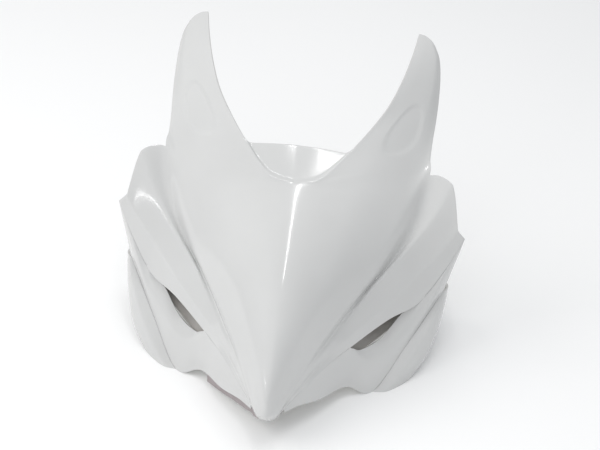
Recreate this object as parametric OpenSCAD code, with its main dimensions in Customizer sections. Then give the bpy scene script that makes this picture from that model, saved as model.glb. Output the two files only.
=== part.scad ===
// Upper front fairing of a sport motorcycle: hand-laid glass-fibre mouldings in white
// gelcoat, with bonded intake scoops, side cheeks, air ducts and fixing hardware.
// Millimetres. +Z is up, the nose points along -Y and the part stands on its two cheeks.
// Left and right are the rider's, so left is +X.

/* [Laminate] */
// Thickness of the moulded glass-fibre skins
skin = 3; // [2.5:0.5:4]
// Depth of the step that seats the windscreen below the outer skin
joggle = 2; // [1:0.5:2]
// Depth of the oval mirror pads below the horn skin
pad_depth = 1.2; // [0.6:0.2:1.6]

/* [Hardware] */
// Bore of the two sleeves that take the fairing-stay bolts
stay_bore = 6.4; // [5:0.2:6.8]
// Distance between the two fairing-stay sleeves
stay_pitch = 70; // [60:2:76]
// Clear hole in the side-panel tabs
tab_bore = 5.4; // [4.2:0.2:6]

/* [Mesh] */
// Facets between two control points along a skin
row_steps = 3; // [2:1:4]
// Facets between two control curves across a skin
band_steps = 3; // [2:1:4]

/* [Hidden] */

// Styling curves of the left half. Each runs from the nose to the rear, and the points
// of one number lie across from each other on neighbouring curves.
corner_row = 7;        // row where the nose meets the windscreen notch and the horn
tip_row = 14;          // row at the horn's tip
// Centre ridge, then the edge of the windscreen notch and of the horn
ridge = [
  [0, 32, 44], [0, 18, 66], [0, 31, 100], [0, 66, 144], [0, 112, 186], [0, 158, 220],
  [0, 203, 250], [0, 240, 272], [34, 249, 278], [68, 283, 302], [92, 310, 322],
  [114, 340, 344], [129, 373, 367], [139, 404, 389], [146, 434, 410]
];
// Crown, halfway between the centre and the brow
crown = [
  [6, 33, 44], [9, 23, 65], [18, 42, 94], [30, 78, 132], [44, 122, 170], [60, 168, 204],
  [72, 212, 237], [84, 250, 266], [98, 273, 283], [111, 298, 301], [126, 326, 322],
  [140, 357, 344], [150, 387, 369], [155, 413, 391], [155, 434, 408]
];
// Brow, the main ridge beside the nose, which runs on as the horn's outer ridge
brow = [
  [12, 37, 44], [17, 34, 61], [31, 62, 82], [50, 98, 104], [78, 143, 134], [108, 190, 168],
  [133, 232, 207], [151, 272, 247], [157, 300, 272], [161, 325, 295], [165, 350, 318],
  [170, 374, 340], [173, 397, 363], [172, 417, 386], [164, 431, 403]
];
// Valley below the brow, then the rear edge of the horn's side wall
valley = [
  [16, 43, 44], [21, 43, 61], [41, 80, 83], [72, 138, 105], [108, 194, 138],
  [142, 235, 172], [168, 270, 218], [180, 303, 268], [179, 322, 282], [180, 344, 298],
  [182, 366, 314], [183, 388, 334], [182, 408, 358], [178, 422, 380], [170, 429, 396]
];
// Shoulder ridge, up to the corner of the shoulder
shoulder = [
  [18, 47, 45], [25, 52, 60], [52, 97, 82], [88, 157, 109], [124, 204, 147],
  [160, 240, 182], [192, 268, 222], [212, 293, 263]
];
// Crease above the eyelid, up to the notch in the rear edge
crease = [
  [20, 50, 46], [29, 60, 57], [62, 112, 78], [99, 157, 96], [146, 203, 122],
  [180, 234, 149], [211, 255, 182], [227, 267, 207]
];
// Eyelid: the lower edge of the nose, then the lid over the intake slot
eyelid = [
  [22, 53, 47], [33, 67, 55], [68, 113, 72], [99, 151, 79], [146, 196, 96],
  [187, 231, 104], [217, 253, 147], [238, 268, 194]
];
// Bottom of the hollow inside the scoop
hollow = [
  [22, 54, 44], [37, 71, 48], [69, 110, 57], [104, 150, 58], [133, 172, 48],
  [185, 223, 86], [212, 246, 127], [234, 269, 168]
];
// Swell between the hollow and the lower edge
swell = [
  [22, 54, 42], [39, 72, 43], [69, 106, 42], [103, 143, 38], [134, 161, 24],
  [180, 211, 65], [208, 242, 105], [228, 267, 138]
];
// Lower edge of the scoop: under the nose, over the arch and up the cheek's crease
jaw = [
  [22, 54, 40], [40, 72, 38], [67, 99, 28], [100, 138, 19], [137, 154, 0],
  [176, 203, 46], [202, 238, 79], [221, 262, 104]
];
// The cheek's curves run upwards, from the surface it stands on. Its front edge is the
// scoop's lower edge from this row on.
cheek_row = 4;
cheek_rows = 5;
cheek_bulge = [
  [161, 161, 0], [178, 180, 20], [194, 203, 42], [207, 223, 62], [218, 245, 83], [225, 266, 104]
];
cheek_side = [[193, 198, 0], [208, 214, 22], [217, 232, 44], [223, 249, 64], [227, 265, 84], [229, 280, 100]];
cheek_flank = [[207, 262, 0], [215, 268, 22], [221, 276, 42], [225, 284, 60], [228, 293, 76], [228, 302, 90]];
cheek_rear = [[209, 330, 0], [212, 331, 18], [214, 331, 35], [217, 330, 50], [220, 329, 62], [223, 327, 72]];

gap = 0.4;             // clearance between bonded pieces
nudge = 0.02;          // overlap that keeps a cut clean

// Point i of the curve c, carried on past its ends
function point(c, i) =
  i < 0 ? 2 * c[0] - c[1] :
  i >= len(c) ? 2 * c[len(c) - 1] - c[len(c) - 2] : c[i];
// Point of the smooth curve through c at u, which counts in its points. The curve bends
// sharply at the point number corner.
function along(c, u, corner = -1) =
  let(i = max(0, min(floor(u), len(c) - 2)), t = u - i)
  let(a = i == corner ? 2 * c[i] - c[i + 1] : point(c, i - 1))
  let(d = i + 1 == corner ? 2 * c[i + 1] - c[i] : point(c, i + 2))
  (2 * c[i] + (c[i + 1] - a) * t + (2 * a - 5 * c[i] + 4 * c[i + 1] - d) * t * t
  + (3 * c[i] - a - 3 * c[i + 1] + d) * t * t * t) / 2;
function flipped(p) = [-p[0], p[1], p[2]];
function unit(v) = v / norm(v);

// ---- Grids: rows of points, which run along the curves; the columns run across them ----
// A curve may have more points than there are rows: all curves are cut in equal parts.
function loft(curves, rows) = [
  for (i = [0 : rows * row_steps])
    let(across = [for (c = curves) along(c, i / row_steps * (len(c) - 1) / rows)])
    [for (j = [0 : (len(curves) - 1) * band_steps]) along(across, j / band_steps)]
];
// Upper edge of the scoop: it follows the eyelid, and drops away below it along the slot.
// The slot is deepest in its front half, and its outer end is a shallow hood.
slot_rows = [3, 5.1];
slot_drop = [-14, -12, -28];
slot_shape = [0, 0.4, 0.85, 1.1, 1.2, 1.05, 0.15, 0.03, 0];
slot_tuck = [-2, 6, -2];              // moves the edge in behind the hood
slot_hood = [0, 0, 0, 0, 0, 0.4, 1, 0.8, 0];
function slot_gap(u) =
  let(t = (u - slot_rows[0]) / (slot_rows[1] - slot_rows[0]))
  let(k = t * (len(slot_shape) - 1))
  t <= 0 || t >= 1 ? [0, 0, 0] : slot_drop * along(slot_shape, k) + slot_tuck * along(slot_hood, k);
scoop_top = [for (i = [0 : corner_row * row_steps]) along(eyelid, i / row_steps) + slot_gap(i / row_steps)];
// Columns of the nose: level across the centre line, and free beside the notch
function nose_row(u) =
  let(curves = u <= corner_row ? [ridge, crown, brow, valley, shoulder, crease, eyelid]
    : [ridge, crown, brow, valley])
  let(across = [for (k = [0 : len(curves) - 1]) along(curves[k], u, k == 0 ? corner_row : -1)])
  let(free = max(0, min(1, u - corner_row)))
  let(beyond = (1 - free) * flipped(across[1]) + free * (2 * across[0] - across[1]))
  let(past = u <= corner_row ? [] : [
    (1 - free) * shoulder[corner_row] + free * (2 * across[3] - across[2])
  ])
  let(all = concat([beyond], across, past))
  [for (j = [0 : (len(curves) - 1) * band_steps]) along(all, 1 + j / band_steps)];
// Oval pad for the mirror, pressed in the horn's skin. Its place and its half lengths
// are counted in control points.
pad_row = 9.85;
pad_band = 1.4;
pad_rows = 1.05;
pad_bands = 0.52;
pad_push = [-0.44, 0.64, -0.63];     // unit vector into the skin
pad_edge = [0.8, 1.1];               // the pad's floor ends at the first, and its wall at the second
nose_rows = corner_row * row_steps;
nose_grid = [for (i = [0 : tip_row * row_steps]) pressed_pad(nose_row(i / row_steps), i)];

function pad_shape(u, v) =
  let(r = norm([(u - pad_row) / pad_rows, (v - pad_band) / pad_bands]))
  max(0, min(1, (pad_edge[1] - r) / (pad_edge[1] - pad_edge[0])));
function pressed_pad(row, i) = [
  for (j = [0 : len(row) - 1])
    row[j] + pad_depth * pad_shape(i / row_steps, j / band_steps) * pad_push
];

// Unit normal of a grid at a point. The first column mirrors on the centre plane when
// even is true.
function has(g, i, j) = i >= 0 && i < len(g) && j >= 0 && j < len(g[i]);
function normal_at(g, i, j, even = false) =
  let(n = has(g, i + 1, j) && !(even && j == 0 && i == nose_rows) ? g[i + 1][j] : g[i][j])
  let(s = has(g, i - 1, j) ? g[i - 1][j] : g[i][j])
  let(e = has(g, i, j + 1) ? g[i][j + 1] : g[i][j])
  let(w = has(g, i, j - 1) ? g[i][j - 1] : even && i <= nose_rows ? flipped(g[i][1]) : g[i][j])
  unit(cross(e - w, n - s));
function offset_grid(g, depth, even = false) = [
  for (i = [0 : len(g) - 1]) [
    for (j = [0 : len(g[i]) - 1]) g[i][j] - depth * normal_at(g, i, j, even)
  ]
];

// Closed slab between two grids of the same layout. Rows may get shorter towards the end.
module slab(front, back) {
  rows = len(front);
  starts = [for (i = 0, n = 0; i < rows; n = n + len(front[i]), i = i + 1) n];
  total = starts[rows - 1] + len(front[rows - 1]);
  points = concat([for (r = front) for (p = r) p], [for (r = back) for (p = r) p]);
  cells = [for (i = [0 : rows - 2]) for (j = [0 : min(len(front[i]), len(front[i + 1])) - 2]) [i, j]];
  skins = [
    for (c = cells)
      let(a = starts[c[0]] + c[1], d = starts[c[0] + 1] + c[1])
      for (f = [
        [a, d, d + 1], [a, d + 1, a + 1],
        [a + total, d + 1 + total, d + total], [a + total, a + 1 + total, d + 1 + total]
      ]) f
  ];
  // Directed edges of the rim, as the front's facets use them
  rim = [
    for (c = cells)
      let(i = c[0], j = c[1], a = starts[i] + j, d = starts[i + 1] + j)
      let(last = min(len(front[i]), len(front[i + 1])) - 2)
      for (e = [
        j == 0 ? [a, d] : [],
        j == last ? [d + 1, a + 1] : [],
        i == 0 ? [a + 1, a] : [],
        i == rows - 2 || (i < rows - 2 && j > min(len(front[i + 1]), len(front[i + 2])) - 2) ? [d, d + 1] : []
      ]) if (len(e) > 0) e
  ];
  walls = [for (e = rim) for (f = [[e[1], e[0], e[0] + total], [e[1], e[0] + total, e[1] + total]]) f];
  polyhedron(points, concat(skins, walls), convexity = 8);
}

// ---- Frame: the origin is the middle of the bounding box's underside, at z = 0 ----
front_y = min([for (r = nose_grid) for (p = r) p[1]]);
nose_inside = offset_grid(nose_grid, skin, true);
rear_y = max([for (g = [nose_grid, nose_inside]) for (r = g) for (p = r) p[1]]);
module framed(side = 1) {
  translate([0, -(front_y + rear_y) / 2, 0])
  mirror([side < 0 ? 1 : 0, 0, 0])
  children();
}

// ---- Mouldings ----
gelcoat = [0.93, 0.93, 0.92];
flange_lap = 0.35;                   // how far the flange runs under the skin, in points
flange_edge = [[0, 287, 304], [22, 286, 304], [44, 285, 303], [62, 284, 302], [70, 288, 304]];
// Front edge of the windscreen flange, under the skin beside the notch
function under_skin(u, v) =
  let(e = 0.05, row = nose_row(u), p = along(row, v * band_steps))
  let(q = along(nose_row(u - e), v * band_steps), r = along(row, (v + e) * band_steps))
  p - joggle * unit(cross(r - p, p - q));
flange_front = [
  under_skin(corner_row - flange_lap, 0), under_skin(corner_row - 0.1, 0.3),
  under_skin(corner_row + 0.6, 0.2), under_skin(corner_row + 1.5, 0.15),
  under_skin(corner_row + 2.1, 0.1)
];
module half_nose() {
  slab(nose_grid, nose_inside);
  flange_grid = [
    for (i = [0 : 4 * row_steps])
      let(a = along(flange_front, i / row_steps), b = along(flange_edge, i / row_steps))
      [for (j = [0 : band_steps]) b + (a - b) * j / band_steps]
  ];
  slab(flange_grid, offset_grid(flange_grid, skin));
}
module nose_shell() color(gelcoat) framed() {
  half_nose();
  mirror([1, 0, 0]) half_nose();
}
// No skin reaches below the surface that the cheeks stand on
function trimmed(grid, low) = [for (r = grid) [for (p = r) [p[0], p[1], max(low, p[2])]]];
module scoop(side) color(gelcoat) framed(side) {
  scoop_grid = loft([scoop_top, hollow, swell, jaw], corner_row);
  slab(scoop_grid, trimmed(offset_grid(scoop_grid, skin), 0.5));
}
module cheek(side) color(gelcoat) framed(side) {
  front = [for (t = [0 : cheek_rows]) along(jaw, cheek_row + t * (corner_row - cheek_row) / cheek_rows)];
  cheek_grid = loft([front, cheek_bulge, cheek_side, cheek_flank, cheek_rear], cheek_rows);
  inside = offset_grid(cheek_grid, skin);
  upper = [for (i = [1 : len(inside) - 1]) inside[i]];
  // The lower edge is cut flat, so that the part stands on it
  foot = [for (p = inside[0]) [p[0], p[1], 0]];
  slab(cheek_grid, concat([foot], trimmed(upper, 1)));
}

// Return lip laminated inside the lower edge of the nose, from one arch to the other. It
// hangs lower on the rider's right.
lip_lap = 10;
lip_skin = 2;
lip_drop = [1, 14];
lip_line = [[0, 37, 44], [9, 39, 44], [16, 46, 43], [24, 60, 41], [43, 79, 38], [68, 106, 28], [90, 131, 20]];
lip_start = 30;                      // x from which the lip hangs down fully
lip_taper = 20;                      // x from which the lip has its full thickness
function lip_low(p, drop) = p - [0, 0, lip_drop[0] + (drop - lip_drop[0]) * min(1, p[0] / lip_start)];
module half_lip(drop) {
  lip_grid = [
    for (i = [0 : 6 * row_steps])
      let(p = along(lip_line, i / row_steps))
      [p + [0, 0, lip_lap], p, lip_low(p, drop)]
  ];
  slab(lip_grid, [for (r = lip_grid) [for (p = r) p + [-lip_skin * min(1, p[0] / lip_taper), lip_skin, 0]]]);
}
module chin_lip() color([0.55, 0.52, 0.50]) framed() {
  half_lip(lip_drop[0]);
  mirror([1, 0, 0]) half_lip(lip_drop[1]);
}

// ---- Air ducts: a thin sleeve that gathers each intake slot into an oval outlet ----
duct_wall = 1.5;
duct_sides = 24;
duct_rings = 9;
duct_inset = [-2.8, 3.8, 0];         // from the slot's edge to the sleeve's mouth
duct_line = [[141, 208, 82], [138, 228, 85], [133, 252, 90], [128, 284, 96]];
duct_width = [[38, 32, 6], [31, 18, 4], [27, 7, 1], [26, 0, 0]];
duct_height = [[0, 0, 14], [0, -1, 14], [0, -2, 16], [0, -2, 19]];
mouth_rows = [3.1, 4.7];
mouth_rise = [0, 0, 2];              // how far the mouth reaches up behind the lid
mouth_drop = [-17, -15, -36];        // and down behind the scoop's edge
function mouth_point(angle) =
  let(u = mouth_rows[0] + (mouth_rows[1] - mouth_rows[0]) * (1 + cos(angle)) / 2)
  along(eyelid, u) + duct_inset + abs(sin(angle)) * (sin(angle) < 0 ? mouth_drop : mouth_rise);
duct_axis = unit([-13, 76, 14]);
function duct_ring(u) =
  let(c = along(duct_line, u), w = along(duct_width, u), h = along(duct_height, u))
  let(s = min(1, u), blend = s * s * (3 - 2 * s))
  [
    for (k = [0 : duct_sides - 1])
      let(angle = (k + 0.5) * 360 / duct_sides)
      (1 - blend) * mouth_point(angle) + blend * (c + cos(angle) * w + sin(angle) * h)
  ];
// Ring moved by a wall, in the plane across the duct
function moved_ring(ring, wall) =
  let(n = len(ring))
  [
    for (k = [0 : n - 1])
      let(ahead = unit(ring[(k + 1) % n] - ring[k]), behind = unit(ring[k] - ring[(k + n - 1) % n]))
      ring[k] + wall * unit(cross(ahead + behind, duct_axis))
  ];
module duct(side) color([0.45, 0.43, 0.40]) framed(side) {
  inner = [for (i = [0 : duct_rings]) duct_ring(i * 3 / duct_rings)];
  outer = [for (r = inner) moved_ring(r, duct_wall)];
  tube(outer, inner);
}
// Closed wall between two stacks of rings
module tube(outer, inner) {
  rings = len(outer);
  n = len(outer[0]);
  points = concat([for (r = outer) for (p = r) p], [for (r = inner) for (p = r) p]);
  total = rings * n;
  walls = [
    for (i = [0 : rings - 2]) for (k = [0 : n - 1])
      let(a = i * n + k, b = i * n + (k + 1) % n)
      for (f = [
        [a, a + n, b], [b, a + n, b + n],
        [total + a, total + b, total + a + n], [total + b, total + b + n, total + a + n]
      ]) f
  ];
  ends = [
    for (k = [0 : n - 1])
      let(a = k, b = (k + 1) % n, c = (rings - 1) * n + k, d = (rings - 1) * n + (k + 1) % n)
      for (f = [
        [a, b, total + a], [b, total + b, total + a],
        [c, total + c, d], [d, total + c, total + d]
      ]) f
  ];
  polyhedron(points, concat(walls, ends), convexity = 6);
}

// ---- Horns: a backing plate behind the mirror pad, and a rib that stiffens the side wall ----
alloy = [0.76, 0.77, 0.78];
plate_thickness = 2.5;
plate_rows = [9, 11];                // first and last row of control points it lies below
plate_columns = [1, 5 / 3];          // the same across, in control curves
// Closed slab that follows the inside of the nose's skin between two rows and two columns
module backing(rows, columns, thickness) {
  top = offset_grid(nose_grid, skin + gap, true);
  bottom = offset_grid(nose_grid, skin + gap + thickness, true);
  is = [round(rows[0] * row_steps) : round(rows[1] * row_steps)];
  js = [round(columns[0] * band_steps) : round(columns[1] * band_steps)];
  slab([for (i = is) [for (j = js) top[i][j]]], [for (i = is) [for (j = js) bottom[i][j]]]);
}
module mirror_plate(side) color(alloy) framed(side) backing(plate_rows, plate_columns, plate_thickness);
rib_height = 5;
rib_rows = [8, 13];
rib_columns = [2, 8 / 3];
module horn_rib(side) color([0.80, 0.79, 0.70]) framed(side) backing(rib_rows, rib_columns, rib_height);

// ---- Fairing-stay bracket with its rubber-mounted sleeves ----
stay_y = 232;                        // middle of the plate
stay_z = 235;
bracket_size = [104, 3, 22];
bracket_hole = 12;
ear_width = 14;
foot_size = [14, 26, 2.5];
foot_tilt = [34, 14, 0];             // lays the foot against the skin
foot_at = [45, 231, 252.6];
sleeve_length = 12;
sleeve_od = 9;
grommet_od = 17;
grommet_lip = 2.6;
module along_y() rotate([90, 0, 0]) children();
module stay_bracket() color(alloy) framed() difference() {
  union() {
    translate([-bracket_size[0] / 2, stay_y - bracket_size[1] / 2, stay_z - bracket_size[2] / 2])
      cube(bracket_size);
    for (s = [-1, 1]) mirror([s < 0 ? 1 : 0, 0, 0]) {
      translate([foot_at[0] - ear_width / 2, stay_y - bracket_size[1] / 2, stay_z])
        cube([ear_width, bracket_size[1], foot_at[2] - stay_z]);
      translate(foot_at) rotate(foot_tilt) cube(foot_size, center = true);
    }
  }
  for (s = [-1, 1]) translate([s * stay_pitch / 2, stay_y, stay_z]) along_y()
    cylinder(d = bracket_hole, h = 20, center = true, $fn = 48);
}
module stay_grommet(side) color([0.08, 0.08, 0.08]) framed(side)
  translate([stay_pitch / 2, stay_y, stay_z]) along_y() difference() {
    union() {
      cylinder(d = bracket_hole - 0.2, h = bracket_size[1] + 2 * grommet_lip, center = true, $fn = 48);
      for (s = [-1, 1]) translate([0, 0, s * (bracket_size[1] / 2 + 0.1 + grommet_lip / 2)])
        cylinder(d = grommet_od, h = grommet_lip, center = true, $fn = 48);
    }
    cylinder(d = sleeve_od + 0.2, h = 20, center = true, $fn = 48);
  }
module stay_sleeve(side) color([0.62, 0.63, 0.64]) framed(side)
  translate([stay_pitch / 2, stay_y, stay_z]) along_y() difference() {
    cylinder(d = sleeve_od, h = sleeve_length, center = true, $fn = 48);
    cylinder(d = stay_bore, h = sleeve_length + 2, center = true, $fn = 48);
  }

// ---- Side-panel tabs at the rear of the cheeks ----
tab_at = [205, 300, 24];             // front lower edge of the tab's inner face
tab_size = [2.5, 48, 18];
tab_hole_y = 340;
nut_af = 8;
nut_height = 4;
nut_bore = 4.2;
module side_tab(side) color(alloy) framed(side) difference() {
  translate([tab_at[0], tab_at[1], tab_at[2] - tab_size[2] / 2]) union() {
    cube([tab_size[0], tab_hole_y - tab_at[1], tab_size[2]]);
    translate([0, tab_hole_y - tab_at[1], tab_size[2] / 2]) rotate([0, 90, 0])
      cylinder(d = tab_size[2], h = tab_size[0], $fn = 64);
  }
  translate([tab_at[0] - 1, tab_hole_y, tab_at[2]]) rotate([0, 90, 0])
    cylinder(d = tab_bore, h = tab_size[0] + 2, $fn = 48);
}
module tab_nut(side) color([0.62, 0.63, 0.64]) framed(side)
  translate([tab_at[0] - nut_height - nudge, tab_hole_y, tab_at[2]]) rotate([0, 90, 0])
  difference() {
    cylinder(d = nut_af / cos(30), h = nut_height, $fn = 6);
    translate([0, 0, -1]) cylinder(d = nut_bore, h = nut_height + 2, $fn = 48);
  }

nose_shell();
scoop(1);  // left_scoop
scoop(-1);  // right_scoop
cheek(1);  // left_cheek
cheek(-1);  // right_cheek
chin_lip();
duct(1);  // left_duct
duct(-1);  // right_duct
mirror_plate(1);  // left_mirror_plate
mirror_plate(-1);  // right_mirror_plate
horn_rib(1);  // left_horn_rib
horn_rib(-1);  // right_horn_rib
stay_bracket();
stay_grommet(1);  // left_stay_grommet
stay_grommet(-1);  // right_stay_grommet
stay_sleeve(1);  // left_stay_sleeve
stay_sleeve(-1);  // right_stay_sleeve
side_tab(1);  // left_side_tab
side_tab(-1);  // right_side_tab
tab_nut(1);  // left_tab_nut
tab_nut(-1);  // right_tab_nut
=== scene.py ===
"""Looks of the motorcycle upper fairing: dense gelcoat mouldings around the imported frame."""
import math

import bmesh
import bpy
import numpy as np
from mathutils import Matrix, Vector


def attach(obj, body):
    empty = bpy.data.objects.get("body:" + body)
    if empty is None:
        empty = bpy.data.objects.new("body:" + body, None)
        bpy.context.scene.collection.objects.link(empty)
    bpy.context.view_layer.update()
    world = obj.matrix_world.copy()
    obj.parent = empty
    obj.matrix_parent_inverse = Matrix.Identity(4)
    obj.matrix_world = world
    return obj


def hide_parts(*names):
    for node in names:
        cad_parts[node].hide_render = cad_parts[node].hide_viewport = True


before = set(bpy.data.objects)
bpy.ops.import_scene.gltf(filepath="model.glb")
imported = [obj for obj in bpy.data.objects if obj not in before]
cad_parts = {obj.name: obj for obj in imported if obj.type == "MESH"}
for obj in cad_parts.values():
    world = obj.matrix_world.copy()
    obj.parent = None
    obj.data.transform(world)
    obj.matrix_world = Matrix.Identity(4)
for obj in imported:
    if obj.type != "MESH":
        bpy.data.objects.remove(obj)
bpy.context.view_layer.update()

MM = 0.001

# ---- Styling curves of the left half, in millimetres, as the CAD model has them ----
CORNER_ROW = 7
TIP_ROW = 14
RIDGE = [
    (0, 32, 44), (0, 18, 66), (0, 31, 100), (0, 66, 144), (0, 112, 186), (0, 158, 220),
    (0, 203, 250), (0, 240, 272), (34, 249, 278), (68, 283, 302), (92, 310, 322),
    (114, 340, 344), (129, 373, 367), (139, 404, 389), (146, 434, 410),
]
CROWN = [
    (6, 33, 44), (9, 23, 65), (18, 42, 94), (30, 78, 132), (44, 122, 170), (60, 168, 204),
    (72, 212, 237), (84, 250, 266), (98, 273, 283), (111, 298, 301), (126, 326, 322),
    (140, 357, 344), (150, 387, 369), (155, 413, 391), (155, 434, 408),
]
BROW = [
    (12, 37, 44), (17, 34, 61), (31, 62, 82), (50, 98, 104), (78, 143, 134), (108, 190, 168),
    (133, 232, 207), (151, 272, 247), (157, 300, 272), (161, 325, 295), (165, 350, 318),
    (170, 374, 340), (173, 397, 363), (172, 417, 386), (164, 431, 403),
]
VALLEY = [
    (16, 43, 44), (21, 43, 61), (41, 80, 83), (72, 138, 105), (108, 194, 138),
    (142, 235, 172), (168, 270, 218), (180, 303, 268), (179, 322, 282), (180, 344, 298),
    (182, 366, 314), (183, 388, 334), (182, 408, 358), (178, 422, 380), (170, 429, 396),
]
SHOULDER = [
    (18, 47, 45), (25, 52, 60), (52, 97, 82), (88, 157, 109), (124, 204, 147),
    (160, 240, 182), (192, 268, 222), (212, 293, 263),
]
CREASE = [
    (20, 50, 46), (29, 60, 57), (62, 112, 78), (99, 157, 96), (146, 203, 122),
    (180, 234, 149), (211, 255, 182), (227, 267, 207),
]
EYELID = [
    (22, 53, 47), (33, 67, 55), (68, 113, 72), (99, 151, 79), (146, 196, 96),
    (187, 231, 104), (217, 253, 147), (238, 268, 194),
]
HOLLOW = [
    (22, 54, 44), (37, 71, 48), (69, 110, 57), (104, 150, 58), (133, 172, 48),
    (185, 223, 86), (212, 246, 127), (234, 269, 168),
]
SWELL = [
    (22, 54, 42), (39, 72, 43), (69, 106, 42), (103, 143, 38), (134, 161, 24),
    (180, 211, 65), (208, 242, 105), (228, 267, 138),
]
JAW = [
    (22, 54, 40), (40, 72, 38), (67, 99, 28), (100, 138, 19), (137, 154, 0),
    (176, 203, 46), (202, 238, 79), (221, 262, 104),
]
CHEEK_BULGE = [(161, 161, 0), (178, 180, 20), (194, 203, 42), (207, 223, 62), (218, 245, 83), (225, 266, 104)]
CHEEK_SIDE = [(193, 198, 0), (208, 214, 22), (217, 232, 44), (223, 249, 64), (227, 265, 84), (229, 280, 100)]
CHEEK_FLANK = [(207, 262, 0), (215, 268, 22), (221, 276, 42), (225, 284, 60), (228, 293, 76), (228, 302, 90)]
CHEEK_REAR = [(209, 330, 0), (212, 331, 18), (214, 331, 35), (217, 330, 50), (220, 329, 62), (223, 327, 72)]
FLANGE_EDGE = [(0, 287, 304), (22, 286, 304), (44, 285, 303), (62, 284, 302), (70, 286, 303)]
LIP_LINE = [(0, 37, 44), (9, 39, 44), (16, 46, 43), (24, 60, 41), (43, 79, 38), (68, 106, 28), (90, 131, 20)]

# ---- Intake slot: the eyelid is its upper edge, and the scoop's drops away below it ----
SLOT_ROWS = (3.0, 5.1)
SLOT_DROP = np.array([-14.0, -12.0, -28.0])
SLOT_SHAPE = (0, 0.4, 0.85, 1.1, 1.2, 1.05, 0.15, 0.03, 0)
SLOT_TUCK = np.array([-2.0, 6.0, -2.0])
SLOT_HOOD = (0, 0, 0, 0, 0, 0.4, 1, 0.8, 0)

# ---- Duct: its centre line, and half its width and height as vectors, from mouth to rear ----
DUCT_LINE = [(141, 208, 82), (138, 228, 85), (133, 252, 90), (128, 284, 96)]
DUCT_WIDTH = [(38, 32, 6), (31, 18, 4), (27, 7, 1), (26, 0, 0)]
DUCT_HEIGHT = [(0, 0, 14), (0, -1, 14), (0, -2, 16), (0, -2, 19)]
DUCT_INSET = np.array([-2.8, 3.8, 0.0])
DUCT_WALL = 1.5
DUCT_SIDES, DUCT_RINGS = 72, 36
BEAD_HEIGHT, BEAD_REACH = 1.2, 1.6    # rolled rim at the duct's rear end, its reach in rings
MOUTH_ROWS = (3.1, 4.7)
MOUTH_RISE = np.array([0.0, 0.0, 2.0])
MOUTH_DROP = np.array([-17.0, -15.0, -36.0])

# ---- Skins ----
SKIN = 3.0
RIM = 0.7                             # rounding of a cut edge
HORN_RIM = 0.3                        # share of it that is left at a horn's thin tip
HORN_RIM_ROWS = 2.5                   # rows over which it gets there
# How sharply the nose bends at each curve, from the one beyond the centre to the eyelid
NOSE_CREASES = (0, 0, 0, 0.3, 0.1, 0.35, 0.9, 0)
# Screen flange: the rows of the notch that it fills, and the step below the outer skin
FLANGE_ROWS = 2.15
JOGGLE, JOGGLE_RUN, JOGGLE_FULL_AT = 2.0, 9.0, 12.0
JOGGLE_DIRECTION = np.array([0, 0.5, -0.86])
FLANGE_CORNER_GAP = (0.5, 1.5, 0.0)   # width that is left at the flange's outer corner
# Mirror pad: its centre and half sizes in rows and bands, and the way it sinks
PAD_ROW, PAD_BAND = 9.85, 1.4
PAD_ROWS, PAD_BANDS = 1.05, 0.52
PAD_DEPTH = 1.2
PAD_SINK = np.array([-0.44, 0.64, -0.63])
PAD_OUTSIDE, PAD_WALL = 1.06, 0.16    # where the wall starts and how wide it is, in half sizes
# Cheek: the row of the jaw where it starts, and the gap under the back of its lower rim
CHEEK_ROW = 4
CHEEK_CLEARANCE = 0.6
# Chin lip: how far it laps up the inside and hangs below, by side, and where it is full size
LIP_LAP, LIP_SKIN, LIP_RIM = 10.0, 2.0, 0.5
LIP_DROP = {1: 1.0, -1: 14.0}
LIP_START, LIP_TAPER = 30, 20
LIP_STEPS = 8
# Pieces bonded behind the skin
BOND = 0.4
PLATE_THICKNESS, PLATE_RIM = 2.5, 0.6
RIB_EDGE, RIB_CROWN, RIB_RIM = 0.6, 4.4, 0.3
WELD = 0.002                          # points this close become one, where two mouldings meet

# The CAD frame's origin is in the middle of the box, and these curves' is ahead of the nose
FRONT_Y, REAR_Y = 18.0, 436.0
ORIGIN = np.array([0.0, (FRONT_Y + REAR_Y) / 2, 0.0])
FLIP = np.array([-1.0, 1.0, 1.0])
SIDES = ((1, "left"), (-1, "right"))
ROW_STEPS = 12
BAND_STEPS = 12


def along(points, u, corner=None, sharp=None):
    """Points at u on the smooth curve through points (n, ..., 3). It bends sharply at corner.

    sharp gives each point's crease: 0 is smooth, and 1 bends there like a folded sheet.
    """
    p = np.asarray(points, float)
    u = np.atleast_1d(np.asarray(u, float))
    n = len(p)
    chord = np.diff(p, axis=0)
    before = np.concatenate([chord[:1], chord])
    after = np.concatenate([chord, chord[-1:]])
    smooth = (before + after) / 2
    crease = np.zeros(n) if sharp is None else np.asarray(sharp, float)
    if corner is not None:
        crease = crease.copy()
        crease[corner] = 1.0
    crease = crease.reshape((n,) + (1,) * (p.ndim - 1))
    leave = smooth + (after - smooth) * crease
    arrive = smooth + (before - smooth) * crease
    i = np.clip(np.floor(u).astype(int), 0, n - 2)
    t = (u - i).reshape((-1,) + (1,) * (p.ndim - 1))
    h00 = 2 * t**3 - 3 * t**2 + 1
    h10 = t**3 - 2 * t**2 + t
    h01 = -2 * t**3 + 3 * t**2
    h11 = t**3 - t**2
    return h00 * p[i] + h10 * leave[i] + h01 * p[i + 1] + h11 * arrive[i + 1]


def smooth_step(t):
    """0 to 1 with a level start and end, for t from 0 to 1."""
    return t * t * (3 - 2 * t)


def steps(count, per):
    return np.linspace(0, count, count * per + 1)


def loft(curves, rows):
    """Grid of points through curves: rows run along them, and columns run across."""
    u = steps(rows, ROW_STEPS)
    lines = np.stack([along(c, u * (len(c) - 1) / rows) for c in curves])
    return np.swapaxes(along(lines, steps(len(curves) - 1, BAND_STEPS)), 0, 1)


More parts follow.
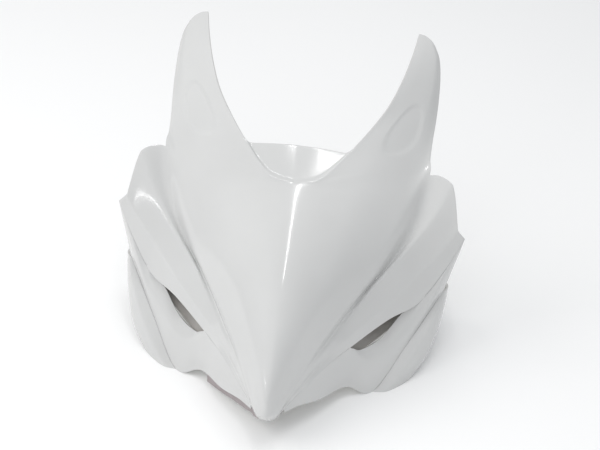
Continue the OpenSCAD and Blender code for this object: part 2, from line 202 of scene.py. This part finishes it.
def nose_row(u):
    """Points across the nose's left half at row u. Past the corner row it is the horn alone."""
    curves = [RIDGE, CROWN, BROW, VALLEY]
    if u <= CORNER_ROW:
        curves = curves + [SHOULDER, CREASE, EYELID]
    across = [along(c, u, corner=CORNER_ROW if k == 0 else None)[0] for k, c in enumerate(curves)]
    free = min(1.0, max(0.0, u - CORNER_ROW))
    beyond = (1 - free) * across[1] * FLIP + free * (2 * across[0] - across[1])
    past = []
    if u > CORNER_ROW:
        past = [(1 - free) * np.array(SHOULDER[-1]) + free * (2 * across[3] - across[2])]
    fade = min(1.0, max(0.0, (u - 1.0) / 2.0))
    sharp = [fade * s for s in NOSE_CREASES[: len(across) + 1 + len(past)]]
    bands = len(curves) - 1
    return along(np.stack([beyond] + across + past), 1 + steps(bands, BAND_STEPS), sharp=sharp)


def pad_shape(u, v):
    """1 inside the mirror pad at row u and band v, 0 outside it, and between them on its wall."""
    r = np.hypot((u - PAD_ROW) / PAD_ROWS, (v - PAD_BAND) / PAD_BANDS)
    return smooth_step(np.clip((PAD_OUTSIDE - r) / PAD_WALL, 0, 1))


def unit(v):
    return v / np.maximum(np.linalg.norm(v, axis=-1, keepdims=True), 1e-9)


def ragged_normals(grid, even):
    """Unit normals of a grid whose rows may get shorter. even mirrors it on the centre plane."""
    out = []
    last = len(grid) - 1
    for i, row in enumerate(grid):
        w = len(row)
        down = grid[i - 1][:w] if i else row
        up = row.copy()
        if i < last:
            m = min(w, len(grid[i + 1]))
            up[:m] = grid[i + 1][:m]
            if even and i == CORNER_ROW * ROW_STEPS:
                up[0] = row[0]
        east = np.concatenate([row[1:], row[-1:]])
        west = np.concatenate([row[:1], row[:-1]])
        if even and i <= CORNER_ROW * ROW_STEPS:
            west[0] = row[1] * FLIP
        out.append(unit(np.cross(east - west, up - down)))
    return out


def inward(grid, depth, even=False):
    """The grid moved by depth towards the inside of the fairing."""
    return [row - depth * n for row, n in zip(grid, ragged_normals(grid, even))]


def place(points):
    """Points of the styling curves' frame in the shared frame, in metres."""
    return (np.asarray(points) - ORIGIN) * MM


def slab(name, front, back, seam=None, even=False, side=1, fade=None, start=True):
    """Mesh between two grids of one layout, with gelcoat (0), laminate (1) and cut edge (2).

    seam(i, j) is True at a rim point where another moulding goes on, so its edge stays sharp.
    fade(i) is how much of the rim's rounding is left at row i. start is False when the first
    row lies on the centre plane.
    """
    sizes = [len(r) for r in front]
    starts = np.concatenate([[0], np.cumsum(sizes)])
    total = int(starts[-1])
    points = np.concatenate(list(front) + list(back))
    faces, kinds, rim = [], [], []
    for i in range(len(front) - 1):
        width = min(sizes[i], sizes[i + 1])
        beyond = min(sizes[i + 1], sizes[i + 2]) if i + 2 < len(front) else 0
        for j in range(width - 1):
            a, d = int(starts[i]) + j, int(starts[i + 1]) + j
            faces.append((a, a + 1, d + 1, d))
            faces.append((a + total, d + total, d + 1 + total, a + 1 + total))
            kinds += [0, 1]
            edges = []
            if j == 0 and not (even and i < CORNER_ROW * ROW_STEPS):
                edges.append((d, a))
            if j == width - 2:
                edges.append((a + 1, d + 1))
            if i == 0 and start:
                edges.append((a, a + 1))
            if i == len(front) - 2 or j > beyond - 2:
                edges.append((d + 1, d))
            for p, q in edges:
                faces.append((q, p, p + total, q + total))
                kinds.append(2)
                rim.append((p, q))
    place_of = {int(starts[i]) + j: (i, j) for i in range(len(front)) for j in range(sizes[i])}
    mesh = bpy.data.meshes.new(name)
    world = place(points) * (FLIP if side < 0 else 1)
    if side < 0:
        faces = [f[::-1] for f in faces]
    mesh.from_pydata(world.tolist(), [], faces)
    mesh.polygons.foreach_set("material_index", kinds)
    mesh.polygons.foreach_set("use_smooth", [True] * len(faces))
    weight = mesh.attributes.new("bevel_weight_edge", "FLOAT", "EDGE")
    lookup = {tuple(sorted(e.vertices)): e.index for e in mesh.edges}
    for p, q in rim:
        if seam and seam(*place_of[p]) and seam(*place_of[q]):
            continue
        tip = fade(place_of[p][0]) if fade else 1.0
        for pair in ((p, q), (p + total, q + total)):
            weight.data[lookup[tuple(sorted(pair))]].value = tip
    return mesh


def joined(name, meshes, merge=None):
    """One object from several meshes. merge welds points that lie this close, in metres."""
    bm = bmesh.new()
    for m in meshes:
        bm.from_mesh(m)
        bpy.data.meshes.remove(m)
    if merge:
        bmesh.ops.remove_doubles(bm, verts=bm.verts, dist=merge)
    mesh = bpy.data.meshes.new(name)
    bm.to_mesh(mesh)
    bm.free()
    obj = bpy.data.objects.new(name, mesh)
    bpy.context.collection.objects.link(obj)
    return obj


def soften_rim(obj, width=RIM):
    """Rounds the marked rim edges, and applies the rounding to the mesh."""
    bevel = obj.modifiers.new("rim", "BEVEL")
    bevel.width = width * MM
    bevel.segments = 2
    bevel.limit_method = "WEIGHT"
    bevel.use_clamp_overlap = True
    dg = bpy.context.evaluated_depsgraph_get()
    mesh = bpy.data.meshes.new_from_object(obj.evaluated_get(dg))
    obj.modifiers.clear()
    obj.data = mesh


def finish_piece(obj, node, materials):
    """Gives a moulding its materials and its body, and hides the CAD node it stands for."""
    for m in materials:
        obj.data.materials.append(m)
    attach(obj, "root")
    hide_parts(node)


# ---- Materials ----
def new_material(name):
    m = bpy.data.materials.new(name)
    m.use_nodes = True
    nodes = m.node_tree.nodes
    return m, nodes, m.node_tree.links, nodes["Principled BSDF"]


def object_coords(nodes):
    return nodes.new("ShaderNodeTexCoord").outputs["Object"]


def noise(nodes, links, coords, scale, detail=2.0, rough=0.5):
    n = nodes.new("ShaderNodeTexNoise")
    n.inputs["Scale"].default_value = scale
    n.inputs["Detail"].default_value = detail
    n.inputs["Roughness"].default_value = rough
    links.new(coords, n.inputs["Vector"])
    return n.outputs["Fac"]


def ramp(nodes, links, value, stops):
    r = nodes.new("ShaderNodeValToRGB")
    while len(r.color_ramp.elements) < len(stops):
        r.color_ramp.elements.new(0.5)
    for e, (pos, colour) in zip(r.color_ramp.elements, stops):
        e.position = pos
        e.color = (*colour, 1.0)
    links.new(value, r.inputs["Fac"])
    return r.outputs["Color"]


def spread(nodes, links, value, low, high):
    m = nodes.new("ShaderNodeMapRange")
    m.inputs["To Min"].default_value = low
    m.inputs["To Max"].default_value = high
    links.new(value, m.inputs["Value"])
    return m.outputs["Result"]


def bump(nodes, links, height, strength, distance, below=None):
    b = nodes.new("ShaderNodeBump")
    b.inputs["Strength"].default_value = strength
    b.inputs["Distance"].default_value = distance
    links.new(height, b.inputs["Height"])
    if below:
        links.new(below, b.inputs["Normal"])
    return b.outputs["Normal"]


def gelcoat():
    """White polyester gelcoat: a faint mottle, orange peel and print-through of the mat below."""
    m, nodes, links, shader = new_material("white_gelcoat")
    at = object_coords(nodes)
    tone = noise(nodes, links, at, 9.0, 3.0)
    links.new(ramp(nodes, links, tone, [(0.3, (0.58, 0.582, 0.578)), (0.7, (0.612, 0.614, 0.61))]),
              shader.inputs["Base Color"])
    wear = noise(nodes, links, at, 30.0, 4.0)
    links.new(spread(nodes, links, wear, 0.10, 0.16), shader.inputs["Roughness"])
    print_through = bump(nodes, links, noise(nodes, links, at, 55.0, 1.0), 0.05, 0.0006)
    peel = bump(nodes, links, noise(nodes, links, at, 420.0, 2.0), 0.05, 0.0002, print_through)
    links.new(peel, shader.inputs["Normal"])
    shader.inputs["IOR"].default_value = 1.52
    shader.inputs["Coat Weight"].default_value = 0.35
    shader.inputs["Coat Roughness"].default_value = 0.06
    return m


def laminate():
    """Raw inside of the mouldings: chopped-strand mat wetted with pale resin."""
    m, nodes, links, shader = new_material("raw_laminate")
    at = object_coords(nodes)
    strands = nodes.new("ShaderNodeTexVoronoi")
    strands.feature = "DISTANCE_TO_EDGE"
    strands.inputs["Scale"].default_value = 190.0
    stretch = nodes.new("ShaderNodeMapping")
    stretch.inputs["Scale"].default_value = (1.0, 0.35, 0.6)
    stretch.inputs["Rotation"].default_value = (0.4, 0.7, 0.9)
    links.new(at, stretch.inputs["Vector"])
    links.new(stretch.outputs["Vector"], strands.inputs["Vector"])
    cloud = noise(nodes, links, at, 26.0, 4.0)
    mix = nodes.new("ShaderNodeMath")
    mix.operation = "MULTIPLY_ADD"
    links.new(strands.outputs["Distance"], mix.inputs[0])
    mix.inputs[1].default_value = 0.9
    links.new(cloud, mix.inputs[2])
    colour = ramp(nodes, links, mix.outputs[0],
                  [(0.35, (0.46, 0.455, 0.40)), (0.6, (0.58, 0.575, 0.52)), (0.95, (0.68, 0.675, 0.63))])
    links.new(colour, shader.inputs["Base Color"])
    links.new(spread(nodes, links, cloud, 0.30, 0.55), shader.inputs["Roughness"])
    rough = bump(nodes, links, cloud, 0.5, 0.0015)
    links.new(bump(nodes, links, strands.outputs["Distance"], 0.5, 0.0006, rough), shader.inputs["Normal"])
    return m


def cut_edge():
    """Sawn and sanded edge of the laminate, with the gelcoat's white showing through."""
    m, nodes, links, shader = new_material("sanded_edge")
    at = object_coords(nodes)
    grain = noise(nodes, links, at, 260.0, 5.0, 0.65)
    links.new(ramp(nodes, links, grain, [(0.3, (0.58, 0.575, 0.56)), (0.75, (0.67, 0.667, 0.655))]),
              shader.inputs["Base Color"])
    shader.inputs["Roughness"].default_value = 0.6
    links.new(bump(nodes, links, grain, 0.4, 0.0004), shader.inputs["Normal"])
    return m


def lip_painted_shade():
    """Return lip's resin, painted dark mauve-grey as the shade under the lower edge, with the glass mat's
    lumps.
    """
    m, nodes, links, shader = new_material("lip_painted_shade")
    at = object_coords(nodes)
    cloud = noise(nodes, links, at, 70.0, 4.0)
    # painted shade: this dark mauve-grey stands for the shade the lip lies in under the lower edge
    links.new(ramp(nodes, links, cloud, [(0.3, (0.27, 0.235, 0.24)), (0.7, (0.36, 0.32, 0.325))]),
              shader.inputs["Base Color"])
    links.new(spread(nodes, links, cloud, 0.4, 0.6), shader.inputs["Roughness"])
    links.new(bump(nodes, links, cloud, 0.4, 0.001), shader.inputs["Normal"])
    return m


def duct_shell():
    """Grey-brown resin sleeve of the intakes, matt, with a faint brushed flow."""
    m, nodes, links, shader = new_material("duct_resin")
    at = object_coords(nodes)
    flow = noise(nodes, links, at, 60.0, 4.0)
    links.new(ramp(nodes, links, flow, [(0.3, (0.40, 0.385, 0.37)), (0.7, (0.47, 0.455, 0.435))]),
              shader.inputs["Base Color"])
    links.new(spread(nodes, links, flow, 0.5, 0.7), shader.inputs["Roughness"])
    links.new(bump(nodes, links, noise(nodes, links, at, 300.0, 3.0), 0.25, 0.0004), shader.inputs["Normal"])
    return m


def brushed(name, colour, scale, stretch_by):
    """Sheet metal or plated steel with fine directional scratches."""
    m, nodes, links, shader = new_material(name)
    stretch = nodes.new("ShaderNodeMapping")
    stretch.inputs["Scale"].default_value = stretch_by
    links.new(object_coords(nodes), stretch.inputs["Vector"])
    grain = noise(nodes, links, stretch.outputs["Vector"], scale, 4.0, 0.7)
    dark = tuple(c * 0.82 for c in colour)
    links.new(ramp(nodes, links, grain, [(0.25, dark), (0.75, colour)]), shader.inputs["Base Color"])
    shader.inputs["Metallic"].default_value = 1.0
    links.new(spread(nodes, links, grain, 0.28, 0.48), shader.inputs["Roughness"])
    links.new(bump(nodes, links, grain, 0.15, 0.0002), shader.inputs["Normal"])
    return m


def rubber():
    m, nodes, links, shader = new_material("grommet_rubber")
    at = object_coords(nodes)
    bloom = noise(nodes, links, at, 150.0, 4.0)
    links.new(ramp(nodes, links, bloom, [(0.3, (0.018, 0.018, 0.018)), (0.8, (0.045, 0.044, 0.042))]),
              shader.inputs["Base Color"])
    links.new(spread(nodes, links, bloom, 0.55, 0.8), shader.inputs["Roughness"])
    links.new(bump(nodes, links, noise(nodes, links, at, 900.0, 2.0), 0.3, 0.0002), shader.inputs["Normal"])
    return m


GELCOAT = gelcoat()
LAMINATE = laminate()
EDGE = cut_edge()
LIP_PAINTED_SHADE = lip_painted_shade()
DUCT = duct_shell()
ALLOY = brushed("brushed_alloy", (0.72, 0.73, 0.74), 90.0, (1.0, 14.0, 14.0))
STEEL = brushed("plated_steel", (0.55, 0.55, 0.53), 200.0, (8.0, 1.0, 8.0))
RUBBER = rubber()
SKINS = [GELCOAT, LAMINATE, EDGE]


# ---- Mouldings ----
def nose_grid():
    grid = []
    for u in steps(TIP_ROW, ROW_STEPS):
        row = nose_row(u)
        v = steps((len(row) - 1) // BAND_STEPS, BAND_STEPS)
        grid.append(row + pad_shape(u, v)[:, None] * PAD_SINK * PAD_DEPTH)
    return grid


def flange_grid(nose):
    """Screen flange: it leaves the notch's edge, steps down and runs on to its rear edge."""
    start = CORNER_ROW * ROW_STEPS
    count = int(round(FLANGE_ROWS * ROW_STEPS))
    lip = np.array([nose[start + k][0] for k in range(count + 1)])
    edge = along(FLANGE_EDGE, np.linspace(0, len(FLANGE_EDGE) - 1, count + 1))
    edge[-1] = lip[-1] + FLANGE_CORNER_GAP
    near, far = np.linspace(0, 0.3, 12, endpoint=False), np.linspace(0.3, 1, 13)
    s = np.concatenate([near, far])
    rows = []
    for a, b in zip(lip, edge):
        run = np.linalg.norm(b - a)
        step = smooth_step(np.clip(s * run / JOGGLE_RUN, 0, 1))
        drop = JOGGLE * min(1.0, run / JOGGLE_FULL_AT) * step
        line = a + (b - a) * s[:, None] + drop[:, None] * JOGGLE_DIRECTION
        rows.append(line[::-1])
    return rows


def nose_shell():
    nose = nose_grid()
    depth = inward(nose, SKIN, even=True)
    flange = flange_grid(nose)
    corner = CORNER_ROW * ROW_STEPS
    lip_rows = range(corner, corner + len(flange))

    def seam(i, j):
        beside_flange = j == 0 and i in lip_rows
        beside_slot = SLOT_ROWS[0] * ROW_STEPS < i <= SLOT_ROWS[1] * ROW_STEPS
        above_scoop = j == len(nose[i]) - 1 and i <= corner and not beside_slot
        return beside_flange or above_scoop

    def horn_fade(i):
        from_tip = (len(nose) - 1 - i) / (HORN_RIM_ROWS * ROW_STEPS)
        return min(1.0, HORN_RIM + (1 - HORN_RIM) * from_tip)

    def flange_seam(i, j):
        return j == len(flange[0]) - 1 or i == 0

    under = inward(flange, SKIN)
    under[0][:, 0] = 0                # the flange's two halves meet on the centre plane
    parts = []
    for side in (1, -1):
        parts.append(slab("half", nose, depth, seam, even=True, side=side, fade=horn_fade))
        parts.append(slab("flange", flange, under, flange_seam, side=side, start=False))
    obj = joined("nose_moulding", parts, merge=WELD * MM)
    soften_rim(obj)
    finish_piece(obj, "nose_shell", SKINS)


def slot_gap(u):
    """How far the scoop's upper edge lies from the eyelid at row u."""
    t = np.clip((u - SLOT_ROWS[0]) / (SLOT_ROWS[1] - SLOT_ROWS[0]), 0, 1)
    k = t * (len(SLOT_SHAPE) - 1)
    return along(SLOT_SHAPE, k)[:, None] * SLOT_DROP + along(SLOT_HOOD, k)[:, None] * SLOT_TUCK


def scoop_top():
    """The scoop's upper edge: the eyelid's, dropped away below it along the slot."""
    u = steps(CORNER_ROW, ROW_STEPS)
    return along(EYELID, u) + slot_gap(u)


def scoops():
    grid = loft([scoop_top(), HOLLOW, SWELL, JAW], CORNER_ROW)
    last = len(grid[0]) - 1

    def seam(i, j):
        under_nose = j == 0 and (i <= SLOT_ROWS[0] * ROW_STEPS or i >= SLOT_ROWS[1] * ROW_STEPS)
        beside_cheek = j == last and i >= CHEEK_ROW * ROW_STEPS
        return under_nose or beside_cheek

    depth = inward(list(grid), SKIN)
    for side, name in SIDES:
        obj = joined(name + "_scoop_moulding", [slab("scoop", list(grid), depth, seam, side=side)])
        soften_rim(obj)
        finish_piece(obj, name + "_scoop", SKINS)


def cheeks():
    rows = len(CHEEK_BULGE) - 1
    front = along(JAW, np.linspace(CHEEK_ROW, CORNER_ROW, rows * ROW_STEPS + 1))
    grid = loft([front, CHEEK_BULGE, CHEEK_SIDE, CHEEK_FLANK, CHEEK_REAR], rows)
    depth = inward(list(grid), SKIN)
    for i, row in enumerate(depth):
        row[:, 2] = np.maximum(row[:, 2], CHEEK_CLEARANCE if i else 0)

    def seam(i, j):
        return j == 0

    for side, name in SIDES:
        obj = joined(name + "_cheek_moulding", [slab("cheek", list(grid), depth, seam, side=side)])
        soften_rim(obj)
        finish_piece(obj, name + "_cheek", SKINS)


def chin_lip():
    """Raw laminate lip inside the lower edge. It hangs lower on the rider's right."""
    line = along(LIP_LINE, steps(len(LIP_LINE) - 1, LIP_STEPS))
    lap = np.linspace(LIP_LAP, 0, 4)
    hang = np.linspace(0, 1, 4)[1:]
    parts = []
    for side, _ in SIDES:
        rows = []
        for p in line:
            low = LIP_DROP[1] + (LIP_DROP[side] - LIP_DROP[1]) * min(1.0, p[0] / LIP_START)
            rows.append(np.array([p + (0, 0, z) for z in [*lap, *(-hang * low)]]))
        back = [r + np.array([-LIP_SKIN * min(1.0, r[0][0] / LIP_TAPER), LIP_SKIN, 0]) for r in rows]
        parts.append(slab("lip", rows, back, side=side))
    obj = joined("chin_lip_laminate", parts)
    soften_rim(obj, LIP_RIM)
    # the lip's colour is painted shade, dark mauve-grey for the shade under the lower edge
    finish_piece(obj, "chin_lip", [LIP_PAINTED_SHADE] * 3)


def duct_ring(u, angle):
    """Ring across the intake duct: the slot's outline at its mouth, and an oval further in."""
    mouth_u = MOUTH_ROWS[0] + (MOUTH_ROWS[1] - MOUTH_ROWS[0]) * (1 + np.cos(angle)) / 2
    reach = np.where(np.sin(angle)[:, None] < 0, MOUTH_DROP, MOUTH_RISE)
    mouth = along(EYELID, mouth_u) + DUCT_INSET + np.abs(np.sin(angle))[:, None] * reach
    c, w, h = (along(table, u)[0] for table in (DUCT_LINE, DUCT_WIDTH, DUCT_HEIGHT))
    oval = c + np.cos(angle)[:, None] * w + np.sin(angle)[:, None] * h
    blend = smooth_step(min(1.0, u))
    return (1 - blend) * mouth + blend * oval


def ducts():
    angle = np.arange(DUCT_SIDES) * 2 * math.pi / DUCT_SIDES
    axis = unit(np.subtract(DUCT_LINE[-1], DUCT_LINE[0]).astype(float))
    rings, moved = [], []
    for i in range(DUCT_RINGS + 1):
        ring = duct_ring(i * (len(DUCT_LINE) - 1) / DUCT_RINGS, angle)
        ahead = unit(np.roll(ring, -1, 0) - ring)
        across = unit(np.cross(ahead + np.roll(ahead, 1, 0), axis))
        bead = BEAD_HEIGHT * math.exp(-((DUCT_RINGS - i) / BEAD_REACH) ** 2)
        rings.append(ring)
        moved.append(ring + (DUCT_WALL + bead) * across)
    points = np.concatenate(moved + rings)
    total = (DUCT_RINGS + 1) * DUCT_SIDES
    rear = DUCT_RINGS * DUCT_SIDES
    faces = []
    for k in range(DUCT_SIDES):
        n = (k + 1) % DUCT_SIDES
        for i in range(DUCT_RINGS):
            here, beyond = i * DUCT_SIDES, (i + 1) * DUCT_SIDES
            a, b, c, d = here + k, here + n, beyond + n, beyond + k
            faces.append((a, d, c, b))
            faces.append((a + total, b + total, c + total, d + total))
        faces.append((k, n, n + total, k + total))
        faces.append((rear + n, rear + k, rear + k + total, rear + n + total))
    for side, name in SIDES:
        mesh = bpy.data.meshes.new("duct")
        world = place(points) * (FLIP if side < 0 else 1)
        mesh.from_pydata(world.tolist(), [], [f[::-1] for f in faces] if side < 0 else faces)
        mesh.polygons.foreach_set("use_smooth", [True] * len(faces))
        obj = joined(name + "_duct_sleeve", [mesh])
        finish_piece(obj, name + "_duct", [DUCT])


def backings():
    """Plates behind the mirror pads and foam-cored ribs in the horns, on the skin's inside."""
    nose = nose_grid()
    normals = ragged_normals(nose, True)

    def piece(name, node, rows, columns, depth_at, materials, width):
        i0, i1 = (int(round(r * ROW_STEPS)) for r in rows)
        j0, j1 = (int(round(c * BAND_STEPS)) for c in columns)
        front, back = [], []
        for i in range(i0, i1 + 1):
            p, n = nose[i][j0:j1 + 1], normals[i][j0:j1 + 1]
            s = np.linspace(-1, 1, j1 - j0 + 1)
            t = 2 * (i - i0) / (i1 - i0) - 1
            front.append(p - (SKIN + BOND) * n)
            back.append(p - (SKIN + BOND + depth_at(s, t))[:, None] * n)
        for side, hand in SIDES:
            obj = joined(hand + name, [slab(name, front, back, side=side)])
            soften_rim(obj, width)
            finish_piece(obj, hand + node, materials)

    piece("_mirror_backing", "_mirror_plate", (9, 11), (1, 5 / 3),
          lambda s, t: np.full(len(s), PLATE_THICKNESS), [ALLOY] * 3, PLATE_RIM)
    piece("_horn_stiffener", "_horn_rib", (8, 13), (2, 8 / 3),
          lambda s, t: RIB_EDGE + RIB_CROWN * (1 - s**4) * (1 - t**8), [LAMINATE] * 3, RIB_RIM)


nose_shell()
scoops()
cheeks()
chin_lip()
ducts()
backings()


# ---- Metal and rubber of the CAD nodes that stay ----
def dress(node, material):
    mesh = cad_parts[node].data
    mesh.materials.clear()
    mesh.materials.append(material)


dress("stay_bracket", ALLOY)
for _, name in SIDES:
    dress(name + "_side_tab", ALLOY)
    dress(name + "_tab_nut", STEEL)
    dress(name + "_stay_sleeve", STEEL)
    dress(name + "_stay_grommet", RUBBER)


# ---- Stage ----
def floor():
    """Pale sheet under the part, wide enough to reach past every view of it."""
    bm = bmesh.new()
    bmesh.ops.create_grid(bm, x_segments=4, y_segments=4, size=6.0)
    mesh = bpy.data.meshes.new("floor")
    bm.to_mesh(mesh)
    bm.free()
    obj = bpy.data.objects.new("floor", mesh)
    bpy.context.collection.objects.link(obj)
    m, nodes, links, shader = new_material("studio_floor")
    shade = noise(nodes, links, object_coords(nodes), 0.8, 1.0)
    links.new(ramp(nodes, links, shade, [(0.2, (0.93, 0.93, 0.93)), (0.8, (0.955, 0.955, 0.955))]),
              shader.inputs["Base Color"])
    shader.inputs["Roughness"].default_value = 0.9
    mesh.materials.append(m)


def area_light(name, at, aim, size, power, colour=(1, 1, 1), size_y=None, mirrored=True):
    """mirrored is False for a polarised lamp, which leaves no highlight on the gelcoat."""
    data = bpy.data.lights.new(name, "AREA")
    data.energy = power
    data.color = colour
    data.size = size
    if size_y:
        data.shape = "RECTANGLE"
        data.size_y = size_y
    obj = bpy.data.objects.new(name, data)
    obj.location = at
    obj.rotation_euler = (Vector(aim) - Vector(at)).to_track_quat("-Z", "Y").to_euler()
    obj.visible_glossy = mirrored
    bpy.context.collection.objects.link(obj)


def lights():
    middle = (0, 0, 0.2)
    area_light("key", (-2.2, -0.6, 2.2), middle, 2.0, 33, (1.0, 0.985, 0.965), mirrored=False)
    area_light("front", (-0.5, -2.3, 2.0), middle, 1.8, 15, mirrored=False)
    area_light("fill", (0.2, 0.6, 3.0), middle, 2.6, 24, mirrored=False)
    area_light("ridge_tube", (0.05, -0.3, 1.7), middle, 0.03, 2.0, size_y=0.8)
    area_light("shoulder_tube", (-0.97, -1.1, 0.42), middle, 0.45, 0.5, size_y=0.03)
    world = bpy.data.worlds.new("studio")
    bpy.context.scene.world = world
    world.use_nodes = True
    nodes = world.node_tree.nodes
    nodes["Background"].inputs["Color"].default_value = (0.96, 0.98, 1.0, 1)
    nodes["Background"].inputs["Strength"].default_value = 0.55


def camera():
    """Looks down on the nose from straight ahead, at the height a person sees it on a table."""
    yaw, elevation, roll = (math.radians(a) for a in (2.2, 36.0, 5.1))
    distance = 1.64
    target = Vector(place((14.1, 230.0, 214.5)))
    level = math.cos(elevation)
    back = Vector((math.sin(yaw) * level, -math.cos(yaw) * level, math.sin(elevation)))
    right = (-back).cross(Vector((0, 0, 1))).normalized()
    up = right.cross(-back)
    right, up = (math.cos(roll) * right + math.sin(roll) * up,
                 -math.sin(roll) * right + math.cos(roll) * up)
    data = bpy.data.cameras.new("camera")
    data.lens = 73.9
    data.sensor_width = 36.0
    data.clip_end = 50.0
    obj = bpy.data.objects.new("camera", data)
    basis = Matrix((right, up, back)).transposed().to_4x4()
    obj.matrix_world = Matrix.Translation(target + back * distance) @ basis
    bpy.context.collection.objects.link(obj)
    bpy.context.scene.camera = obj


floor()
lights()
camera()

bpy.context.scene.view_settings.view_transform = "Standard"
